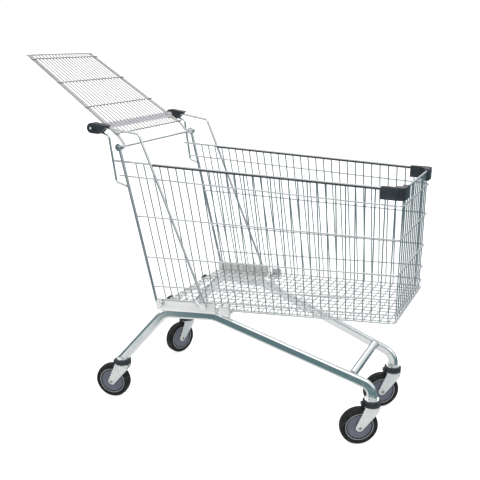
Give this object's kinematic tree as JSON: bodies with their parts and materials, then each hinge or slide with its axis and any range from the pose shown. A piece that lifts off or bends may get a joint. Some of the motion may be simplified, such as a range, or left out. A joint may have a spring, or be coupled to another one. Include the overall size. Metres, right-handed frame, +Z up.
{
  "type": "shopping cart",
  "caption": "Wire shopping cart with a tapered basket, a swing-up rear gate, a capped push handle and a bent-tube chassis on swivel casters.",
  "frame": {"origin": "on the floor under the middle of the bounding box, with the rear gate raised against the handle", "axes": "+X to the front of the cart, +Y to its left, +Z up"},
  "size_m": [1.3426, 0.529, 1.1993],
  "materials": {
    "chrome_wire": "bright zinc-and-lacquer plated steel wire",
    "chassis_chrome": "bright plated flat-oval steel tube",
    "zinc_sheet": "pressed zinc-plated sheet",
    "zinc_fitting": "zinc-plated fittings and fasteners",
    "grey_plastic": "grey moulded plastic",
    "dark_plastic": "dark moulded plastic, fine grain",
    "handle_sleeve": "pale plastic-coated handle tube",
    "black_rubber": "moulded rubber buffers",
    "tyre": "dark grey elastic tread",
    "hub_plastic": "grey-violet moulded hub"
  },
  "bodies": {
    "frame": {"chassis_tube_right": "chassis_chrome", "chassis_tube_left": "chassis_chrome", "front_cross_tube": "chassis_chrome", "rear_cross_channel": "zinc_sheet", "console_plate_right": "zinc_sheet", "console_plate_left": "zinc_sheet", "support_blocks": "grey_plastic", "floor_buffers": "black_rubber", "socket_rear_right": "zinc_fitting", "socket_rear_left": "zinc_fitting", "socket_front_right": "zinc_fitting", "socket_front_left": "zinc_fitting", "frame_rod_right": "chrome_wire", "frame_rod_left": "chrome_wire", "handle_loop_right": "chrome_wire", "handle_loop_left": "chrome_wire", "handle_brace_right": "chrome_wire", "handle_brace_left": "chrome_wire", "handle_tube": "handle_sleeve", "handle_cap_right": "dark_plastic", "handle_cap_left": "dark_plastic", "cap_screws": "zinc_fitting", "basket_side_right": "chrome_wire", "basket_side_left": "chrome_wire", "basket_front": "chrome_wire", "basket_floor": "chrome_wire", "rim_cover_right": "dark_plastic", "rim_cover_left": "dark_plastic", "corner_bumper_right": "dark_plastic", "corner_bumper_left": "dark_plastic", "hinge_bushes": "grey_plastic", "frame_bolts": "zinc_fitting"},
    "gate": {"gate_grid": "chrome_wire", "gate_hinge_rod": "chrome_wire"},
    "caster_rear_right": {"fork_rear_right": "zinc_fitting", "guard_rear_right": "dark_plastic", "axle_rear_right": "zinc_fitting"},
    "wheel_rear_right": {"tyre_rear_right": "tyre", "hub_rear_right": "hub_plastic", "bearing_rear_right": "zinc_fitting"},
    "caster_rear_left": {"fork_rear_left": "zinc_fitting", "guard_rear_left": "dark_plastic", "axle_rear_left": "zinc_fitting"},
    "wheel_rear_left": {"tyre_rear_left": "tyre", "hub_rear_left": "hub_plastic", "bearing_rear_left": "zinc_fitting"},
    "caster_front_right": {"fork_front_right": "zinc_fitting", "guard_front_right": "dark_plastic", "axle_front_right": "zinc_fitting"},
    "wheel_front_right": {"tyre_front_right": "tyre", "hub_front_right": "hub_plastic", "bearing_front_right": "zinc_fitting"},
    "caster_front_left": {"fork_front_left": "zinc_fitting", "guard_front_left": "dark_plastic", "axle_front_left": "zinc_fitting"},
    "wheel_front_left": {"tyre_front_left": "tyre", "hub_front_left": "hub_plastic", "bearing_front_left": "zinc_fitting"}
  },
  "joints": [
    {"name": "gate_hinge", "type": "hinge", "parent": "frame", "child": "gate", "pos_m": [-0.2577, 0, 0.912], "axis": [0, 1, 0], "range_deg": [0, 222]},
    {"name": "swivel_rear_right", "type": "hinge", "parent": "frame", "child": "caster_rear_right", "pos_m": [-0.2907, -0.2287, 0.13], "axis": [0, 0, 1], "continuous": true},
    {"name": "spin_rear_right", "type": "hinge", "parent": "caster_rear_right", "child": "wheel_rear_right", "pos_m": [-0.32963, -0.23697, 0.0625], "axis": [-0.2079, 0.9781, 0], "continuous": true},
    {"name": "swivel_rear_left", "type": "hinge", "parent": "frame", "child": "caster_rear_left", "pos_m": [-0.2907, 0.2287, 0.13], "axis": [0, 0, 1], "continuous": true},
    {"name": "spin_rear_left", "type": "hinge", "parent": "caster_rear_left", "child": "wheel_rear_left", "pos_m": [-0.30496, 0.19154, 0.0625], "axis": [-0.9336, 0.3584, 0], "continuous": true},
    {"name": "swivel_front_right", "type": "hinge", "parent": "frame", "child": "caster_front_right", "pos_m": [0.5963, -0.1335, 0.13], "axis": [0, 0, 1], "continuous": true},
    {"name": "spin_front_right", "type": "hinge", "parent": "caster_front_right", "child": "wheel_front_right", "pos_m": [0.56274, -0.15488, 0.0625], "axis": [-0.5373, 0.8434, 0], "continuous": true},
    {"name": "swivel_front_left", "type": "hinge", "parent": "frame", "child": "caster_front_left", "pos_m": [0.5963, 0.1335, 0.13], "axis": [0, 0, 1], "continuous": true},
    {"name": "spin_front_left", "type": "hinge", "parent": "caster_front_left", "child": "wheel_front_left", "pos_m": [0.5635, 0.11096, 0.0625], "axis": [-0.5664, 0.8241, 0], "continuous": true}
  ]
}
